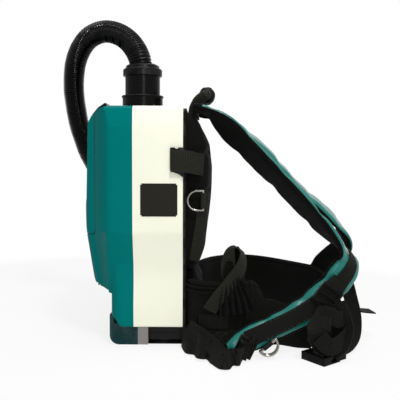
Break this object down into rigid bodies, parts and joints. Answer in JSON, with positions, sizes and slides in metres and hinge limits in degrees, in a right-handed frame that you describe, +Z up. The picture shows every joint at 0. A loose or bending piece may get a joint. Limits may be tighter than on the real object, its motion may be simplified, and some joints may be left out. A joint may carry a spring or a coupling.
{
  "type": "backpack vacuum cleaner",
  "caption": "Battery backpack vacuum with a ribbed suction hose, bottom-hinged dust cover, twin slide-in packs and a padded harness spread out beside it.",
  "frame": {"origin": "on the floor, on the flat underside of the bottom guard, below the shells' parting line and midway between the sides", "axes": "+X from the unit towards the harness and its wearer, +Y to the wearer's left, +Z up"},
  "size_m": [0.5506, 0.4602, 0.533],
  "materials": {
    "teal_plastic": "semi-gloss",
    "cream_plastic": "semi-gloss",
    "dark_teal_plastic": "satin",
    "grey_plastic": "satin",
    "black_plastic": "satin",
    "battery_plastic": "satin",
    "red_plastic": "satin",
    "key_grey": "satin",
    "plate_black": "satin",
    "motor_plastic": "matte",
    "motor_metal": "satin",
    "steel": "polished",
    "pin_steel": "satin",
    "seal_rubber": "matte",
    "hose_plastic": "satin",
    "board": "matte",
    "filter_paper": "matte",
    "bag_paper": "matte",
    "pad_cloth": "matte",
    "strap_teal": "satin",
    "webbing": "ribbed"
  },
  "bodies": {
    "unit": {"rear_shell": "cream_plastic", "front_shell": "teal_plastic", "bottom_guard": "dark_teal_plastic", "guard_band": "grey_plastic", "back_plate": "black_plastic", "chamber_floor": "black_plastic", "inlet_collar": "black_plastic", "cover_hinge_pin": "pin_steel", "cover_seal": "seal_rubber", "bag_holder": "grey_plastic", "dust_bag": "bag_paper", "hepa_filter": "filter_paper", "motor_housing": "motor_plastic", "motor_mount_rings": "seal_rubber", "motor_body": "motor_metal", "control_board": "board", "battery_rails": "black_plastic", "rating_plate": "plate_black", "shell_screws": "pin_steel", "hose": "hose_plastic", "hose_end_cuff": "black_plastic", "back_pad": "pad_cloth", "lumbar_pad": "pad_cloth", "hip_wing_near": "pad_cloth", "hip_wing_far": "pad_cloth", "shoulder_strap_near": "strap_teal", "shoulder_strap_far": "strap_teal", "strap_webbing_near": "webbing", "strap_webbing_far": "webbing", "wrap_strap_near": "webbing", "wrap_strap_far": "webbing", "wrap_clips": "black_plastic", "pad_webbing": "webbing", "carry_handle": "webbing", "handle_grip": "seal_rubber", "ladder_lock": "black_plastic", "lower_webbing": "webbing", "wing_webbing": "webbing", "strap_slider": "black_plastic", "chest_webbing": "webbing", "belt_webbing": "webbing", "buckle_female": "black_plastic", "buckle_male": "black_plastic", "control_box": "black_plastic"},
    "cover": {"dust_cover": "teal_plastic", "latch_pin": "pin_steel"},
    "latch": {"cover_latch": "black_plastic"},
    "fan": {"fan_rotor": "motor_metal"},
    "cuff": {"hose_cuff": "black_plastic"},
    "pack_left": {"battery_left": "battery_plastic"},
    "pack_right": {"battery_right": "battery_plastic"},
    "release_left": {"battery_button_left": "red_plastic"},
    "release_right": {"battery_button_right": "red_plastic"},
    "upper_ring_near": {"d_ring_upper_near": "steel"},
    "upper_ring_far": {"d_ring_upper_far": "steel"},
    "lower_ring_outer": {"d_ring_lower_outer": "steel"},
    "lower_ring_inner": {"d_ring_lower_inner": "steel"},
    "power_key": {"power_button": "red_plastic"},
    "mode_key": {"mode_button": "key_grey"}
  },
  "joints": [
    {"name": "cover_hinge", "type": "hinge", "parent": "unit", "child": "cover", "pos_m": [-0.074, 0, 0.178], "axis": [0, -1, 0], "range_deg": [0, 90]},
    {"name": "latch_lever", "type": "hinge", "parent": "cover", "child": "latch", "pos_m": [-0.069, 0, 0.362], "axis": [0, -1, 0], "range_deg": [0, 35]},
    {"name": "fan_spin", "type": "hinge", "parent": "unit", "child": "fan", "pos_m": [0.017, 0, 0.13], "axis": [0, 0, 1], "continuous": true},
    {"name": "cuff_swivel", "type": "hinge", "parent": "unit", "child": "cuff", "pos_m": [0.005, 0, 0.415], "axis": [0, 0, 1], "continuous": true},
    {"name": "pack_left_slide", "type": "slide", "parent": "unit", "child": "pack_left", "axis": [-1, 0, 0], "range_m": [0, 0.11]},
    {"name": "pack_right_slide", "type": "slide", "parent": "unit", "child": "pack_right", "axis": [-1, 0, 0], "range_m": [0, 0.11]},
    {"name": "release_left_press", "type": "slide", "parent": "pack_left", "child": "release_left", "axis": [1, 0, 0], "range_m": [0, 0.0025], "stiffness_N_per_m": 600},
    {"name": "release_right_press", "type": "slide", "parent": "pack_right", "child": "release_right", "axis": [1, 0, 0], "range_m": [0, 0.0025], "stiffness_N_per_m": 600},
    {"name": "upper_ring_near_hinge", "type": "hinge", "parent": "unit", "child": "upper_ring_near", "pos_m": [0.107, -0.098, 0.231], "axis": [0, 0, 1], "range_deg": [0, 120]},
    {"name": "upper_ring_far_hinge", "type": "hinge", "parent": "unit", "child": "upper_ring_far", "pos_m": [0.107, 0.098, 0.231], "axis": [0, 0, -1], "range_deg": [0, 120]},
    {"name": "lower_ring_outer_hinge", "type": "hinge", "parent": "unit", "child": "lower_ring_outer", "pos_m": [0.203, -0.1527, 0.022], "axis": [-0.766, 0, -0.6428], "range_deg": [0, 70]},
    {"name": "lower_ring_inner_hinge", "type": "hinge", "parent": "unit", "child": "lower_ring_inner", "pos_m": [0.203, -0.1467, 0.022], "axis": [0.766, 0, 0.6428], "range_deg": [0, 40]},
    {"name": "power_press", "type": "slide", "parent": "unit", "child": "power_key", "axis": [-0.0349, -0.9994, 0], "range_m": [0, 0.001], "stiffness_N_per_m": 800},
    {"name": "mode_press", "type": "slide", "parent": "unit", "child": "mode_key", "axis": [-0.0349, -0.9994, 0], "range_m": [0, 0.001], "stiffness_N_per_m": 800}
  ]
}
